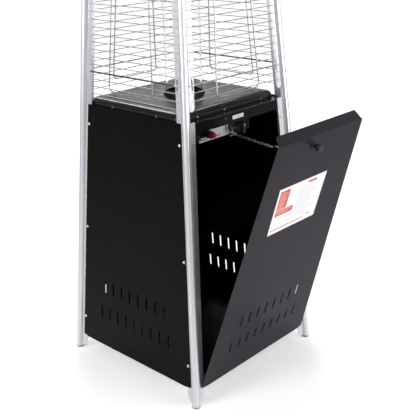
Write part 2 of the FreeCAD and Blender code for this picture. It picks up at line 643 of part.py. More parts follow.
def make_pipes():
    y0 = BRACKET_Y
    supply = bent_rod([Vector(KNOB_X, y0 + 42, VALVE_Z), Vector(KNOB_X, -52, VALVE_Z),
                       Vector(0, 0, 688), Vector(0, 0, 712)], 4.0, 14.0)
    keep("supply_pipe", supply)
    lead = bent_rod([Vector(IGNITER_X, IGNITER_BACK, IGNITER_Z), Vector(IGNITER_X, -70, IGNITER_Z),
                     Vector(-62, 0, 720), Vector(-62, 26, 735), Vector(-62, 26, 752)], 1.6, 9.0)
    keep("igniter_lead", lead)
    probe_x, probe_y = 62.0, 26.0
    sensor = bent_rod([Vector(KNOB_X + 10, BRACKET_Y + 42, VALVE_Z), Vector(KNOB_X + 10, -60, VALVE_Z),
                       Vector(probe_x, 0, 716), Vector(probe_x, probe_y, 735),
                       Vector(probe_x, probe_y, 752)], 1.2, 9.0)
    tip = Part.makeCylinder(2.6, 22, Vector(probe_x, probe_y, 751))
    keep("thermocouple", fused([sensor, tip]))


def make_pilot():
    """Two short brackets under the deck, one each side of the burner cup, with electrode and pilot."""
    under = DECK_TOP - DECK_SHEET
    pieces = []
    for side in (-1, 1):
        shelf = box(46, 76, 18, 34, 757, 758.2)
        drop = box(74.8, 76, 18, 34, 757, under)
        hole = Part.makeCylinder(3.2, 10, Vector(62, 26, 752))
        arm = fused([shelf, drop]).cut(hole)
        if side < 0:
            arm = arm.mirror(Vector(0, 0, 0), Vector(1, 0, 0))
        pieces.append(arm)
    ceramic = spun([(0, 752), (3.1, 752), (3.1, 770), (2, 772), (1, 772), (1, 779), (0, 779)])
    ceramic.translate(Vector(-62, 26, 0))
    pieces.append(ceramic)
    keep("pilot_assembly", Part.makeCompound(pieces))


# --- chain ---------------------------------------------------------------------------------------
def chain_link(centre, along, across):
    """A stadium-shaped link of round wire; across is the direction of its width."""
    inner_half = LINK_PITCH / 2 + 0.15
    bend = LINK_WIDTH / 2 - WIRE_R
    straight = inner_half + WIRE_R - bend
    a, b = along * straight, across * bend
    tip = along * (straight + bend)
    path = Part.Wire([Part.LineSegment(centre - a + b, centre + a + b).toShape(),
                      Part.Arc(centre + a + b, centre + tip, centre + a - b).toShape(),
                      Part.LineSegment(centre + a - b, centre - a - b).toShape(),
                      Part.Arc(centre - a - b, centre - tip, centre - a + b).toShape()])
    ring = Part.Wire(Part.makeCircle(WIRE_R, centre - a + b, along))
    return path.makePipeShell([ring], True, False)


def chain_half(pin, far_end):
    """Links from a pin to a free end, every second one turned a quarter."""
    along = (far_end - pin).normalize()
    flat = along.cross(Vector(1, 0, 0)).normalize()
    turned_across = along.cross(flat).normalize()
    first = LINK_PITCH / 2 + 0.15 - EYE_PIN_R - EYE_GAP
    links = []
    for index in range(LINKS_PER_HALF):
        centre = pin + along * (first + index * LINK_PITCH)
        links.append(chain_link(centre, along, flat if index % 2 == 0 else turned_across))
    return Part.makeCompound(links)


def opened_point(point):
    marker = door_opened(Part.Vertex(point))
    return marker.Point


HOOK = Vector(CHAIN_X, HOOK_Y, HOOK_Z)
EYE = opened_point(door_eye_point())
CHAIN_SPAN = HOOK.distanceToPoint(EYE)
LINK_PITCH = (CHAIN_SPAN / 2 - 1.0) / (LINKS_PER_HALF - 0.1)


def make_chain():
    middle = (HOOK + EYE) * 0.5
    aside = Vector(CHAIN_SPREAD, 0, 0)
    keep("chain_upper", chain_half(HOOK, middle - aside))
    keep("chain_lower", chain_half(EYE, middle + aside))
    keep("chain_hook", eye_block(HOOK, Vector(0, 1, 0), Z_AXIS, HOOK_REACH))


# --- guards --------------------------------------------------------------------------------------
def guard_screw_heights():
    """Screws sit halfway between two wires, part of the way up and near the top."""
    return tuple(HEAVY_ROD_Z + steps * WIRE_PITCH for steps in (27.5, 57.5))


def make_guards():
    strips = []
    for side in (-1, 1):
        outline = [(side * (half(z) - edge), z) for z, edge in
                   ((STRIP_BOTTOM, STRIP_NEAR), (STRIP_BOTTOM, STRIP_EDGE), (STRIP_TOP, STRIP_EDGE),
                    (STRIP_TOP, STRIP_NEAR))]
        strip = face_plate(outline, FIN_FRONT, STRIP_FRONT)
        cutters = [face_drill(side * (half(z) - SCREW_INSET), z, SCREW_HOLE_R)
                   for z in guard_screw_heights()]
        cutters.append(strip_slot(side))
        strips.append(cut_all(strip, cutters))
    wires, lowest = [], []
    wire_off = STRIP_FRONT + GRID_R - WELD
    for step in range(-WIRES_BELOW, WIRES_ABOVE):
        z = HEAVY_ROD_Z + step * WIRE_PITCH
        radius = GRID_R if step else HEAVY_R
        off = wire_off if step else STRIP_FRONT + HEAVY_R - WELD
        reach = half(z) - STRIP_NEAR - 1.2
        row = lowest if step == -WIRES_BELOW else wires
        row.append(rod(on_face(-reach, z, off), on_face(reach, z, off), radius))
    pin_off = wire_off + GRID_R + HAIRPIN_R - WELD
    wide, narrow = HAIRPIN_HALF
    top = HEAVY_ROD_Z + (WIRES_ABOVE - 1) * WIRE_PITCH + 2
    hairpin = bent_rod([on_face(-narrow, top, pin_off), on_face(-wide, HAIRPIN_BOTTOM, pin_off),
                        on_face(wide, HAIRPIN_BOTTOM, pin_off), on_face(narrow, top, pin_off)],
                       HAIRPIN_R, HAIRPIN_BEND)
    open_guard = strips[0].multiFuse(strips[1:] + wires + [hairpin])
    guard = open_guard.fuse(lowest)
    for quarter in (1, 2, 3):
        keep(FACES[quarter] + "_guard", turned(guard, quarter))
    end_r = (STRIP_EDGE - STRIP_NEAR) / 2
    end_z = FRONT_STRIP_BOTTOM + end_r
    ends = [Part.makeCylinder(end_r, STRIP_FRONT - FIN_FRONT,
                              on_face(side * (half(end_z) - STRIP_NEAR - end_r), end_z, FIN_FRONT), NORMAL)
            for side in (-1, 1)]
    below = prism([on_face(u, z, -2) for u, z in ((-300, STRIP_BOTTOM - 10), (300, STRIP_BOTTOM - 10),
                                                  (300, end_z), (-300, end_z))],
                  NORMAL * (STRIP_FRONT + 2))
    keep("front_guard", open_guard.cut(below).multiFuse(ends).removeSplitter())
    head = spun([(0, 0), (4.2, 0), (4.0, 1.2), (2.6, 2.2), (0, 2.6)])
    shank = Part.makeCylinder(1.9, 8, Vector(0, 0, -7.9))
    screw = fused([head, shank])
    bolts = []
    for side in (-1, 1):
        for z in guard_screw_heights():
            bolts.append(aligned(screw, on_face(side * (half(z) - SCREW_INSET), z, STRIP_FRONT), NORMAL))
    keep("guard_screws", Part.makeCompound([turned(b, q) for q in range(4) for b in bolts]))


# --- head ----------------------------------------------------------------------------------------
def pyramid_shell(low, high, half_low, half_high, sheet):
    def block(z0, z1, h0, h1):
        wires = [Part.makePolygon([Vector(x * h, y * h, z) for x, y in
                                   ((-1, -1), (1, -1), (1, 1), (-1, 1), (-1, -1))])
                 for z, h in ((z0, h0), (z1, h1))]
        return Part.makeLoft(wires, True, True)
    return block(low, high, half_low, half_high).cut(block(low - 0.01, high - sheet, half_low - sheet,
                                                           half_high - sheet))


def make_head():
    t = 1.2
    outer = box(-HEAD_HALF, HEAD_HALF, -HEAD_HALF, HEAD_HALF, HEAD_Z, HEAD_Z + HEAD_DEPTH)
    inside = HEAD_HALF - t
    inner = box(-inside, inside, -inside, inside, HEAD_Z + t, HEAD_Z + HEAD_DEPTH + 1)
    corners = [rod(Vector(x * half(HEAD_Z - 20), y * half(HEAD_Z - 20), HEAD_Z - 20),
                   Vector(x * half(HEAD_Z + 40), y * half(HEAD_Z + 40), HEAD_Z + 40), POST_R + 0.3)
               for x in (-1, 1) for y in (-1, 1)]
    slits = [turned(box(-100 + 25 * i, -88 + 25 * i, -HEAD_HALF - 5, -HEAD_HALF + 5, HEAD_Z + 8, HEAD_Z + 14), q)
             for i in range(1, 7) for q in range(4)]
    bore = Part.makeCylinder(TUBE_R - 2, 60, Vector(0, 0, HEAD_Z - 30))
    tray = cut_all(outer.cut(inner), corners + slits + [bore])
    keep("head_tray", tray)
    ring_low = HEAD_Z - 14
    keep("tube_collar", spun([(SEAT_BORE, ring_low), (SEAT_R - 1, ring_low), (SEAT_R, HEAD_Z - 1),
                              (SEAT_R, HEAD_Z), (SEAT_BORE, HEAD_Z)]))
    screen = spun([(TUBE_R - 1, HEAD_Z + t), (TUBE_R + 6, HEAD_Z + t), (TUBE_R + 6, HEAD_Z + 2 * t),
                   (TUBE_R, HEAD_Z + 2 * t), (TUBE_R, SCREEN_TOP), (TUBE_R - 1, SCREEN_TOP)])
    windows = []
    for level in range(5):
        for index in range(9):
            window = box(-5, 5, -60, 60, HEAD_Z + 12 + level * 16, HEAD_Z + 22 + level * 16)
            window.rotate(Vector(0, 0, 0), Z_AXIS, index * 20.0 + 10 * (level % 2))
            windows.append(window)
    keep("flame_screen", cut_all(screen, windows))
    rim = box(-HOOD_HALF, HOOD_HALF, -HOOD_HALF, HOOD_HALF, HOOD_BOTTOM, HOOD_BOTTOM + HOOD_RIM)
    within = HOOD_HALF - t
    rim = rim.cut(box(-within, within, -within, within, HOOD_BOTTOM - 1, HOOD_BOTTOM + HOOD_RIM + 1))
    roof = pyramid_shell(HOOD_BOTTOM + HOOD_RIM, HOOD_TOP, HOOD_HALF, HOOD_TOP_HALF, HOOD_SHEET)
    hood = fused([rim, roof])
    rise = (HOOD_TOP - HOOD_BOTTOM - HOOD_RIM) / (HOOD_HALF - HOOD_TOP_HALF)
    post_top = HOOD_BOTTOM + HOOD_RIM + rise * (HOOD_HALF - HOOD_POST_AT) + 6
    drills = [Part.makeCylinder(3.0, 60, Vector(x * HOOD_POST_AT, y * HOOD_POST_AT, post_top - 30))
              for x in (-1, 1) for y in (-1, 1)]
    drills.append(Part.makeCylinder(4.0, 40, Vector(0, 0, HOOD_TOP - 20)))
    keep("hood", cut_all(hood, drills))
    posts, nuts = [], []
    seat = post_top - 14
    for x in (-1, 1):
        for y in (-1, 1):
            at = Vector(x * HOOD_POST_AT, y * HOOD_POST_AT, HEAD_Z + t)
            shoulder = Part.makeCylinder(HOOD_POST_R, seat - at.z, at)
            thread = Part.makeCylinder(2.9, 20, Vector(at.x, at.y, seat))
            posts.append(fused([shoulder, thread]))
            nut = spun([(2.95, 0), (7, 0), (7, 4), (5, 7), (2.95, 7.5)])
            nut.translate(Vector(at.x, at.y, post_top + 1.5))
            nuts.append(nut)
    keep("hood_posts", Part.makeCompound(posts))
    keep("hood_nuts", Part.makeCompound(nuts))
    keep("finial", spun([(0, HOOD_TOP - 8), (3.9, HOOD_TOP - 8), (3.9, HOOD_TOP), (16, HOOD_TOP),
                         (17, HOOD_TOP + 3), (11, HOOD_TOP + 9), (13, HOOD_TOP + 18), (9, FINIAL_TOP - 3),
                         (4, FINIAL_TOP), (0, FINIAL_TOP)]))


def main():
    make_posts()
    make_panels()
    make_tray()
    make_door()
    make_deck()
    make_burner()
    make_controls()
    make_pipes()
    make_pilot()
    make_chain()
    make_guards()
    make_head()
    os.makedirs("parts", exist_ok=True)
    for name, shape in PARTS.items():
        shape.exportStep(os.path.join("parts", name + ".step"))
    print(len(PARTS), "nodes")
    print("hook", HOOK, "eye", EYE, "span", round(CHAIN_SPAN, 2), "pitch", round(LINK_PITCH, 3))


main()
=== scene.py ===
import json
import math

import bmesh
import bpy
from mathutils import Matrix, Vector


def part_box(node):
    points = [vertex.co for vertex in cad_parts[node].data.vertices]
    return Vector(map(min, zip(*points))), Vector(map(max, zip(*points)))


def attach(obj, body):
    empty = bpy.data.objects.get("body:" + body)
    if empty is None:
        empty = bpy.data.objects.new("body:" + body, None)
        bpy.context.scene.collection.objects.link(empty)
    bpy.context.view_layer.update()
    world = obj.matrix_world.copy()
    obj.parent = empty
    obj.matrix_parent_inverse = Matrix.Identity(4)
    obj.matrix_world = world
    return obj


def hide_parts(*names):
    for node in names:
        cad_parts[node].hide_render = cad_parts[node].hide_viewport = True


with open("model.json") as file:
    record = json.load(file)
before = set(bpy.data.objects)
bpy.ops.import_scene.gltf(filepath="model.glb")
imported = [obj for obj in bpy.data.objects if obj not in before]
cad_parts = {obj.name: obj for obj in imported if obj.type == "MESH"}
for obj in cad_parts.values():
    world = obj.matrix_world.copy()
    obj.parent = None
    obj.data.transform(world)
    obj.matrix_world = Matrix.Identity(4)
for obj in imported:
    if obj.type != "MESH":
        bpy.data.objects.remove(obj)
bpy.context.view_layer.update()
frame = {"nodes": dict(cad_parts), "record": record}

MM = 0.001
LEAN = 0.0678                                       # how far a face leans in per unit of height
FOOT_HALF = 249.5                                   # middle of the object to a post's axis at the ground, mm
HINGE = Vector((0.0, -241.0, 49.0))                 # the door's hinge line, mm
DOOR_OPEN = math.radians(21.0)
NORMAL = Vector((0.0, -1.0, LEAN)).normalized()     # straight out of the front face

CAMERA_PLACE = (-1.5061, -1.4924, 1.2520)
CAMERA_TURN = (0.8169, -0.3645, -0.0271)            # yaw, pitch and roll, radians
CAMERA_LENS = 66.8
ROOM_TONES = ((0.0, (0.95, 0.95, 0.96)), (0.38, (0.42, 0.42, 0.45)), (1.0, (0.24, 0.24, 0.25)))
ROOM_STRENGTH = 0.95
FLOOR_HALF = 14.0
FLOOR_DROP = 0.0005                                 # keeps the floor clear of the feet
FLOOR_FADE = (0.5, 2.2)                             # the floor changes between these distances


# ---- camera, floor and lights --------------------------------------------------------------------
def place_camera():
    """The camera stands off the front-left corner, a little above the deck, looking down."""
    yaw, pitch, roll = CAMERA_TURN
    ahead = Vector((math.sin(yaw) * math.cos(pitch), math.cos(yaw) * math.cos(pitch), math.sin(pitch)))
    side = Vector((math.cos(yaw), -math.sin(yaw), 0.0))
    up = side.cross(ahead)
    right = side * math.cos(roll) + up * math.sin(roll)
    over = up * math.cos(roll) - side * math.sin(roll)
    data = bpy.data.cameras.new("camera")
    data.sensor_width = 36.0
    data.lens = CAMERA_LENS
    data.clip_start = 0.05
    data.clip_end = 60.0
    camera = bpy.data.objects.new("camera", data)
    turn = Matrix((right, over, -ahead)).transposed().to_4x4()
    camera.matrix_world = Matrix.Translation(CAMERA_PLACE) @ turn
    bpy.context.scene.collection.objects.link(camera)
    bpy.context.scene.camera = camera


def softbox(name, place, target, size, power):
    data = bpy.data.lights.new(name, "AREA")
    data.shape = "RECTANGLE"
    data.size, data.size_y = size
    data.energy = power
    lamp = bpy.data.objects.new(name, data)
    aim = (Vector(target) - Vector(place)).to_track_quat("-Z", "Y")
    lamp.matrix_world = Matrix.Translation(place) @ aim.to_matrix().to_4x4()
    lamp.visible_camera = False
    lamp.visible_transmission = False
    bpy.context.scene.collection.objects.link(lamp)


def light_room():
    """Three softboxes in a pale room that darkens upwards; the camera and the glass see it plain white."""
    softbox("front_softbox", (1.2, -4.4, 1.3), (0, 0, 0.5), (2.8, 1.8), 130)
    softbox("key_softbox", (-3.6, 0.6, 2.2), (0, 0, 0.9), (1.6, 2.8), 80)
    softbox("rear_softbox", (2.6, 3.0, 3.2), (0, 0, 1.0), (2.2, 1.6), 80)
    world = bpy.data.worlds.new("pale_room")
    bpy.context.scene.world = world
    bpy.context.scene.view_settings.view_transform = "Standard"
    world.use_nodes = True
    world.node_tree.nodes.clear()
    b = Bench(world.node_tree)
    facing = b.node("ShaderNodeSeparateXYZ", {0: b.node("ShaderNodeTexCoord").outputs["Generated"]})
    height = b.node("ShaderNodeValToRGB", {0: facing.outputs["Z"]})
    height.color_ramp.elements.new(ROOM_TONES[1][0])
    for element, (position, tone) in zip(height.color_ramp.elements, ROOM_TONES):
        element.position = position
        element.color = rgb(*tone)
    fill = b.node("ShaderNodeBackground", {"Color": height.outputs[0], "Strength": ROOM_STRENGTH})
    seen = b.node("ShaderNodeBackground", {"Color": rgb(1, 1, 1), "Strength": 1.0})
    choose = b.node("ShaderNodeMixShader", {0: seen_plainly(b), 1: fill.outputs[0], 2: seen.outputs[0]})
    b.node("ShaderNodeOutputWorld", {0: choose.outputs[0]})


def seen_plainly(b):
    """1 for what the camera sees directly or through the glass, and 0 for all other light."""
    path = b.node("ShaderNodeLightPath").outputs
    return b.math("MAXIMUM", path["Is Camera Ray"], path["Is Transmission Ray"])


# ---- node helpers --------------------------------------------------------------------------------
class Bench:
    """Adds and wires nodes in one tree."""

    def __init__(self, tree):
        self.tree = tree

    def node(self, kind, values=None, **settings):
        made = self.tree.nodes.new(kind)
        for key, value in settings.items():
            setattr(made, key, value)
        for key, value in (values or {}).items():
            if isinstance(value, bpy.types.NodeSocket):
                self.tree.links.new(value, made.inputs[key])
            else:
                made.inputs[key].default_value = value
        return made

    def math(self, operation, first, second=0.0, clamp=False):
        made = self.node("ShaderNodeMath", {0: first, 1: second}, operation=operation, use_clamp=clamp)
        return made.outputs[0]

    def blend(self, amount, first, second):
        made = self.node("ShaderNodeMix", data_type="RGBA")
        for index, value in ((0, amount), (6, first), (7, second)):
            if isinstance(value, bpy.types.NodeSocket):
                self.tree.links.new(value, made.inputs[index])
            else:
                made.inputs[index].default_value = value
        return made.outputs[2]

    def spread(self, value, low, high, to_low, to_high):
        made = self.node("ShaderNodeMapRange", {"Value": value, "From Min": low, "From Max": high,
                                                "To Min": to_low, "To Max": to_high})
        return made.outputs["Result"]

    def place(self, scale=(1, 1, 1), turn=(0, 0, 0)):
        where = self.node("ShaderNodeTexCoord")
        mapped = self.node("ShaderNodeMapping", {"Vector": where.outputs["Object"], "Scale": scale,
                                                 "Rotation": turn})
        return mapped.outputs[0]

    def noise(self, where, scale, detail=3.0, roughness=0.55):
        made = self.node("ShaderNodeTexNoise", {"Vector": where, "Scale": scale, "Detail": detail,
                                                "Roughness": roughness})
        return made.outputs["Fac"]


def shared_group(name, inputs, outputs):
    """A new node group with float inputs and outputs; returns its bench and its two end nodes."""
    tree = bpy.data.node_groups.new(name, "ShaderNodeTree")
    for label, value in inputs:
        socket = tree.interface.new_socket(name=label, in_out="INPUT", socket_type="NodeSocketFloat")
        socket.default_value = value
    for label in outputs:
        tree.interface.new_socket(name=label, in_out="OUTPUT", socket_type="NodeSocketFloat")
    bench = Bench(tree)
    return tree, bench, bench.node("NodeGroupInput").outputs, bench.node("NodeGroupOutput").inputs


def make_edge_wear():
    """Bright rubbed edges, broken up so that only the handled stretches show."""
    tree, b, given, out = shared_group("edge_wear", (("Width", 0.0012), ("Strength", 6.0),
                                                     ("Patch Scale", 14.0), ("Patch Start", 0.45)), ("Mask",))
    soft = b.node("ShaderNodeBevel", {"Radius": given["Width"]}, samples=4)
    flat = b.node("ShaderNodeNewGeometry")
    same = b.node("ShaderNodeVectorMath", {0: soft.outputs[0], 1: flat.outputs["Normal"]},
                  operation="DOT_PRODUCT")
    bend = b.math("SUBTRACT", 1.0, same.outputs["Value"], True)
    edge = b.math("MULTIPLY", bend, given["Strength"], True)
    patches = b.noise(b.place(), given["Patch Scale"], 4.0)
    past = b.math("SUBTRACT", patches, given["Patch Start"], True)
    chosen = b.math("MULTIPLY", past, 7.0, True)
    b.tree.links.new(b.math("MULTIPLY", edge, chosen), out["Mask"])
    return tree


def make_drawn_grain():
    """Long fine lines left by drawing or brushing, running upright."""
    tree, b, given, out = shared_group("drawn_grain", (("Fineness", 900.0), ("Length", 0.012)),
                                       ("Lines", "Streaks"))
    where = b.node("ShaderNodeTexCoord").outputs["Object"]
    parts = b.node("ShaderNodeSeparateXYZ", {0: where})
    short = b.math("MULTIPLY", parts.outputs["Z"], given["Length"])
    joined = b.node("ShaderNodeCombineXYZ", {"X": parts.outputs["X"], "Y": parts.outputs["Y"], "Z": short})
    fine = b.noise(joined.outputs[0], given["Fineness"], 2.0)
    broad = b.noise(joined.outputs[0], 110.0, 2.0)
    b.tree.links.new(fine, out["Lines"])
    b.tree.links.new(broad, out["Streaks"])
    return tree


def make_brushed_across():
    """Brushing that runs level across a sheet."""
    tree, b, given, out = shared_group("brushed_across", (("Fineness", 700.0),), ("Lines",))
    parts = b.node("ShaderNodeSeparateXYZ", {0: b.node("ShaderNodeTexCoord").outputs["Object"]})
    flat_x = b.math("MULTIPLY", parts.outputs["X"], 0.02)
    flat_y = b.math("MULTIPLY", parts.outputs["Y"], 0.02)
    joined = b.node("ShaderNodeCombineXYZ", {"X": flat_x, "Y": flat_y, "Z": parts.outputs["Z"]})
    b.tree.links.new(b.noise(joined.outputs[0], given["Fineness"], 2.0), out["Lines"])
    return tree


def make_mottle():
    """Slow uneven patches and a finer cloud on top, both about 0 to 1."""
    tree, b, given, out = shared_group("mottle", (("Broad Scale", 4.0), ("Fine Scale", 60.0)),
                                       ("Broad", "Fine"))
    where = b.place()
    b.tree.links.new(b.spread(b.noise(where, given["Broad Scale"], 4.0), 0.3, 0.7, 0.0, 1.0), out["Broad"])
    b.tree.links.new(b.spread(b.noise(where, given["Fine Scale"], 5.0), 0.3, 0.7, 0.0, 1.0), out["Fine"])
    return tree


def make_settled_dust():
    """Dust that lies where a surface faces up, thinner where it's been wiped."""
    tree, b, given, out = shared_group("settled_dust", (("Amount", 0.3), ("Patch Scale", 22.0)), ("Mask",))
    parts = b.node("ShaderNodeSeparateXYZ", {0: b.node("ShaderNodeNewGeometry").outputs["Normal"]})
    upward = b.math("POWER", b.math("MAXIMUM", parts.outputs["Z"], 0.0), 3.0)
    patches = b.spread(b.noise(b.place(), given["Patch Scale"], 6.0, 0.7), 0.35, 0.7, 0.2, 1.0)
    lying = b.math("MULTIPLY", upward, patches)
    b.tree.links.new(b.math("MULTIPLY", lying, given["Amount"], True), out["Mask"])
    return tree


def make_paint_skin():
    """The fine peel of sprayed paint with a few dry specks."""
    tree, b, given, out = shared_group("paint_skin", (("Peel Scale", 420.0), ("Speck Scale", 160.0)),
                                       ("Height", "Specks"))
    where = b.place()
    peel = b.noise(where, given["Peel Scale"], 1.5)
    cells = b.node("ShaderNodeTexVoronoi", {"Vector": where, "Scale": given["Speck Scale"]})
    specks = b.math("LESS_THAN", cells.outputs["Distance"], 0.09)
    b.tree.links.new(peel, out["Height"])
    b.tree.links.new(specks, out["Specks"])
    return tree


def make_scuffs():
    """Thin crossing scratches on a few patches."""
    tree, b, given, out = shared_group("scuffs", (("Scale", 30.0), ("Amount", 0.5)), ("Mask",))
    lines = []
    for turn, stretch in (((0.3, 0.5, 0.4), (1, 14, 1)), ((0.9, 0.1, 1.3), (12, 1, 3))):
        where = b.place(stretch, turn)
        value = b.noise(where, given["Scale"], 2.0, 0.4)
        lines.append(b.math("LESS_THAN", b.math("ABSOLUTE", b.math("SUBTRACT", value, 0.5)), 0.004))
    either = b.math("MAXIMUM", lines[0], lines[1])
    patches = b.spread(b.noise(b.place(), 7.0, 3.0), 0.5, 0.62, 0.0, 1.0)
    chosen = b.math("MULTIPLY", either, patches)
    b.tree.links.new(b.math("MULTIPLY", chosen, given["Amount"], True), out["Mask"])
    return tree


def make_from_post():
    """How far a point of a face lies from the nearest leaning post."""
    tree, b, given, out = shared_group("from_post", (("Foot Half", FOOT_HALF * MM), ("Lean", LEAN)),
                                       ("Distance",))
    parts = b.node("ShaderNodeSeparateXYZ", {0: b.node("ShaderNodeTexCoord").outputs["Object"]})
    reach = b.math("SUBTRACT", given["Foot Half"], b.math("MULTIPLY", parts.outputs["Z"], given["Lean"]))
    across = b.math("MINIMUM", b.math("ABSOLUTE", parts.outputs["X"]), b.math("ABSOLUTE", parts.outputs["Y"]))
    b.tree.links.new(b.math("SUBTRACT", reach, across), out["Distance"])
    return tree


EDGE_WEAR = make_edge_wear()
DRAWN_GRAIN = make_drawn_grain()
BRUSHED_ACROSS = make_brushed_across()
MOTTLE = make_mottle()
SETTLED_DUST = make_settled_dust()
PAINT_SKIN = make_paint_skin()
SCUFFS = make_scuffs()
FROM_POST = make_from_post()


def use(bench, group, **values):
    """Places a shared group; argument names use _ where the sockets have spaces."""
    made = bench.node("ShaderNodeGroup")
    made.node_tree = group
    for key, value in values.items():
        made.inputs[key.replace("_", " ")].default_value = value
    return made.outputs


def new_finish(name, settings):
    """A material with one Principled shader, the values that never change set on its own sockets."""
    material = bpy.data.materials.new(name)
    material.use_nodes = True
    tree = material.node_tree
    tree.nodes.clear()
    bench = Bench(tree)
    shader = bench.node("ShaderNodeBsdfPrincipled", settings)
    out = bench.node("ShaderNodeOutputMaterial")
    tree.links.new(shader.outputs[0], out.inputs[0])
    return material, bench, shader


def feed(bench, shader, color=None, rough=None, height=None, bump=(0.2, 0.0002)):
    """Wires colour, roughness and bump into a shader; bump is its strength and its distance."""
    if color is not None:
        bench.tree.links.new(color, shader.inputs["Base Color"])
    if rough is not None:
        bench.tree.links.new(rough, shader.inputs["Roughness"])
    if height is not None:
        raised = bench.node("ShaderNodeBump", {"Strength": bump[0], "Distance": bump[1], "Height": height})
        bench.tree.links.new(raised.outputs[0], shader.inputs["Normal"])


def rgb(red, green, blue):
    return (red, green, blue, 1.0)


# ---- finishes ------------------------------------------------------------------------------------
def drawn_aluminium(name, tone, rough_low, rough_high):
    """Drawn tube with upright grain, a slow cloud and bright worn edges."""
    material, b, shader = new_finish(name, {"Metallic": 0.8, "Specular IOR Level": 0.5})
    grain = use(b, DRAWN_GRAIN, Fineness=900.0, Length=0.012)
    cloud = use(b, MOTTLE, Broad_Scale=5.0, Fine_Scale=80.0)
    worn = use(b, EDGE_WEAR, Width=0.0009, Strength=4.0, Patch_Scale=18.0, Patch_Start=0.4)
    dust = use(b, SETTLED_DUST, Amount=0.25)
    dark = rgb(*[c * 0.93 for c in tone])
    color = b.blend(grain["Streaks"], dark, rgb(*tone))
    color = b.blend(b.math("MULTIPLY", cloud["Broad"], 0.1), color, dark)
    color = b.blend(b.math("MULTIPLY", worn["Mask"], 0.5), color, rgb(0.93, 0.93, 0.92))
    color = b.blend(dust["Mask"], color, rgb(0.5, 0.47, 0.42))
    rough = b.spread(b.math("ADD", grain["Lines"], b.math("MULTIPLY", cloud["Fine"], 0.35)), 0.2, 1.0,
                     rough_low, rough_high)
    feed(b, shader, color, rough, grain["Lines"], (0.05, 0.0001))
    return material


def plated_metal(name, tone, rough_low, rough_high):
    """Plated or cast metal with dull patches, rubbed edges and fine scratches."""
    material, b, shader = new_finish(name, {"Metallic": 1.0})
    cloud = use(b, MOTTLE, Broad_Scale=22.0, Fine_Scale=240.0)
    worn = use(b, EDGE_WEAR, Width=0.0005, Strength=5.0, Patch_Scale=40.0, Patch_Start=0.42)
    marks = use(b, SCUFFS, Scale=60.0, Amount=0.4)
    dull = rgb(*[c * 0.72 for c in tone])
    color = b.blend(b.math("MULTIPLY", cloud["Broad"], 0.5), rgb(*tone), dull)
    color = b.blend(worn["Mask"], color, rgb(*[min(1.0, c * 1.25) for c in tone]))
    color = b.blend(marks["Mask"], color, dull)
    rough = b.spread(cloud["Fine"], 0.0, 1.0, rough_low, rough_high)
    feed(b, shader, color, rough, cloud["Fine"], (0.12, 0.0001))
    return material


def sprayed_steel(name, tone, lighter, rough_low, rough_high, gloss=0.14, coat=0.0, dusty=0.25, peel=0.12):
    """Painted or enamelled sheet with a fine peel, specks, scuffs and settled dust."""
    material, b, shader = new_finish(name, {"Metallic": 0.0, "Coat Weight": coat, "Coat Roughness": 0.12,
                                            "Specular IOR Level": gloss})
    skin = use(b, PAINT_SKIN, Peel_Scale=380.0, Speck_Scale=150.0)
    cloud = use(b, MOTTLE, Broad_Scale=3.2, Fine_Scale=46.0)
    worn = use(b, EDGE_WEAR, Width=0.0011, Strength=5.0, Patch_Scale=12.0, Patch_Start=0.5)
    marks = use(b, SCUFFS, Scale=24.0, Amount=0.35)
    dust = use(b, SETTLED_DUST, Amount=dusty, Patch_Scale=30.0)
    color = b.blend(cloud["Broad"], rgb(*tone), rgb(*lighter))
    color = b.blend(b.math("MULTIPLY", skin["Specks"], 0.2), color, rgb(*[c * 1.8 for c in lighter]))
    color = b.blend(marks["Mask"], color, rgb(*[c * 2.2 for c in lighter]))
    color = b.blend(b.math("MULTIPLY", worn["Mask"], 0.45), color, rgb(0.12, 0.115, 0.11))
    color = b.blend(dust["Mask"], color, rgb(0.09, 0.085, 0.08))
    rough = b.spread(b.math("ADD", cloud["Fine"], b.math("MULTIPLY", marks["Mask"], 1.4)), 0.0, 1.6,
                     rough_low, rough_high)
    feed(b, shader, color, rough, skin["Height"], (peel, 0.00025))
    return material


def moulded_plastic(name, tone, rough_low, rough_high):
    """Grained plastic, paler where it has been handled."""
    material, b, shader = new_finish(name, {"Metallic": 0.0, "IOR": 1.5})
    cloud = use(b, MOTTLE, Broad_Scale=34.0, Fine_Scale=520.0)
    worn = use(b, EDGE_WEAR, Width=0.0008, Strength=4.0, Patch_Scale=60.0, Patch_Start=0.4)
    marks = use(b, SCUFFS, Scale=90.0, Amount=0.5)
    pale = rgb(*[min(1.0, c * 1.6 + 0.03) for c in tone])
    color = b.blend(b.math("MULTIPLY", cloud["Broad"], 0.35), rgb(*tone), pale)
    color = b.blend(worn["Mask"], color, pale)
    color = b.blend(marks["Mask"], color, pale)
    rough = b.spread(cloud["Fine"], 0.0, 1.0, rough_low, rough_high)
    feed(b, shader, color, rough, cloud["Fine"], (0.18, 0.00015))
    return material


